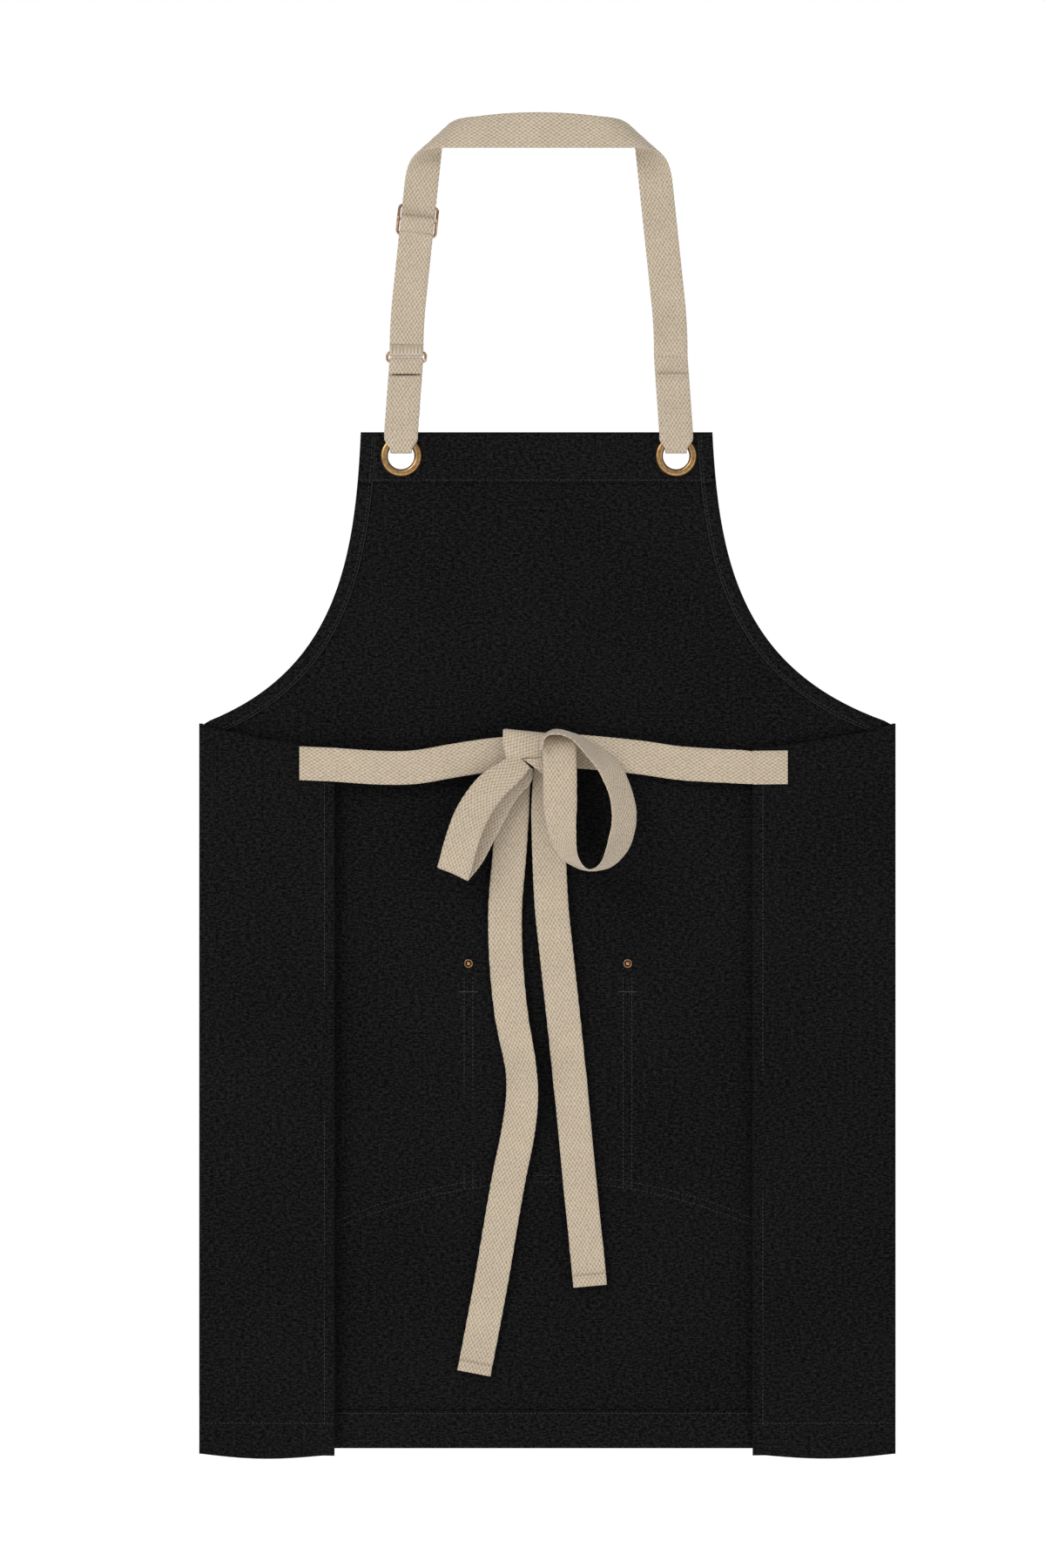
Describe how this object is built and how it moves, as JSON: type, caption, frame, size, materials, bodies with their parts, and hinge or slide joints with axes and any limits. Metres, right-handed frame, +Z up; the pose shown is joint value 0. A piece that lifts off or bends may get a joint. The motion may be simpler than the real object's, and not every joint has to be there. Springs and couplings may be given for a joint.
{
  "type": "artist smock apron",
  "caption": "Canvas bib apron with an adjustable webbing neck strap, front pocket and waist ties, sides folded on to its back and the ties in a bow.",
  "frame": {"origin": "middle of the neck band's inner face, where the strap rests on a neck or a hook", "axes": "+Z up, -Y towards the wearer's side of the cloth, +Y towards the front with the pocket, +X to the right for someone who looks at the wearer's side"},
  "size_m": [0.5166, 0.0572, 0.9961],
  "materials": {
    "strap_webbing": "undyed plain-woven cotton webbing, matt",
    "anchor_webbing": "undyed plain-woven cotton webbing, matt",
    "tie_webbing": "undyed plain-woven cotton webbing, matt",
    "canvas": "black cotton canvas, matt",
    "canvas_hem": "black cotton canvas, turned under and sewn",
    "pocket_canvas": "black cotton canvas, sewn on",
    "copper": "antique copper plating, semi-gloss",
    "grommet_brass": "gold-coloured antique brass plating",
    "rivet_brass": "antique brass plating"
  },
  "bodies": {
    "neck": {"neck_strap": "strap_webbing", "strap_return": "strap_webbing"},
    "slider": {"slider_frame": "copper", "slider_bar": "copper", "strap_end_loop": "strap_webbing"},
    "ring": {"oval_ring": "copper"},
    "apron": {"main_panel": "canvas", "top_hem": "canvas_hem", "bottom_hem": "canvas_hem", "left_armhole_facing": "canvas_hem", "right_armhole_facing": "canvas_hem", "left_grommet": "grommet_brass", "left_grommet_washer": "grommet_brass", "right_grommet": "grommet_brass", "right_grommet_washer": "grommet_brass", "left_anchor_loop": "anchor_webbing", "right_anchor_loop": "anchor_webbing", "front_pocket": "pocket_canvas", "left_pocket_hem": "pocket_canvas", "middle_pocket_hem": "pocket_canvas", "right_pocket_hem": "pocket_canvas", "outer_left_rivet_cap": "rivet_brass", "outer_left_rivet_back": "rivet_brass", "left_rivet_cap": "rivet_brass", "left_rivet_back": "rivet_brass", "right_rivet_cap": "rivet_brass", "right_rivet_back": "rivet_brass", "outer_right_rivet_cap": "rivet_brass", "outer_right_rivet_back": "rivet_brass"},
    "left_wing": {"left_wing": "canvas", "left_wing_hem": "canvas_hem", "left_tie_end": "tie_webbing"},
    "right_wing": {"right_wing": "canvas", "right_wing_hem": "canvas_hem", "right_tie_end": "tie_webbing"},
    "bow": {"left_tie": "tie_webbing", "right_tie": "tie_webbing", "bow_knot": "tie_webbing"},
    "left_loop": {"left_loop": "tie_webbing"},
    "right_loop": {"right_loop": "tie_webbing"},
    "left_tail": {"left_tail": "tie_webbing"},
    "right_tail": {"right_tail": "tie_webbing"}
  },
  "joints": [
    {"name": "strap_slider_slide", "type": "slide", "parent": "neck", "child": "slider", "axis": [0.1045, 0, 0.9945], "range_m": [-0.045, 0.018], "deforming": ["strap_return"]},
    {"name": "ring_tilt", "type": "hinge", "parent": "neck", "child": "ring", "pos_m": [-0.09802, 0.0222, -0.1629], "axis": [-1, 0, 0], "range_deg": [-40, 40]},
    {"name": "apron_swing", "type": "hinge", "parent": "ring", "child": "apron", "pos_m": [-0.09802, 0.0222, -0.1697], "axis": [-1, 0, 0], "range_deg": [-40, 40]},
    {"name": "left_wing_fold", "type": "hinge", "parent": "apron", "child": "left_wing", "pos_m": [-0.2495, 0.0204, -0.7], "axis": [0, 0, -1], "range_deg": [0, 15]},
    {"name": "right_wing_fold", "type": "hinge", "parent": "apron", "child": "right_wing", "pos_m": [0.2625, 0.0204, -0.7], "axis": [0, 0, 1], "range_deg": [0, 15]},
    {"name": "bow_turn", "type": "hinge", "parent": "left_wing", "child": "bow", "pos_m": [-0.1508, 0.0102, -0.4688], "axis": [0, 0, 1], "range_deg": [0, 15]},
    {"name": "left_loop_swing", "type": "hinge", "parent": "bow", "child": "left_loop", "pos_m": [-0.017, -0.0007, -0.4705], "axis": [-1, 0, 0], "range_deg": [-5, 25]},
    {"name": "right_loop_swing", "type": "hinge", "parent": "bow", "child": "right_loop", "pos_m": [0.0125, -0.0015, -0.4525], "axis": [-1, 0, 0], "range_deg": [-5, 25]},
    {"name": "left_tail_swing", "type": "hinge", "parent": "bow", "child": "left_tail", "pos_m": [-0.0146, 0.0157, -0.4715], "axis": [-1, 0, 0], "range_deg": [0, 10]},
    {"name": "right_tail_swing", "type": "hinge", "parent": "bow", "child": "right_tail", "pos_m": [0.0064, 0.0135, -0.4708], "axis": [-1, 0, 0], "range_deg": [0, 10]}
  ],
  "couplings": [
    {"joint": "right_wing_fold", "follows": "left_wing_fold", "ratio": 1},
    {"joint": "bow_turn", "follows": "left_wing_fold", "ratio": 1}
  ]
}
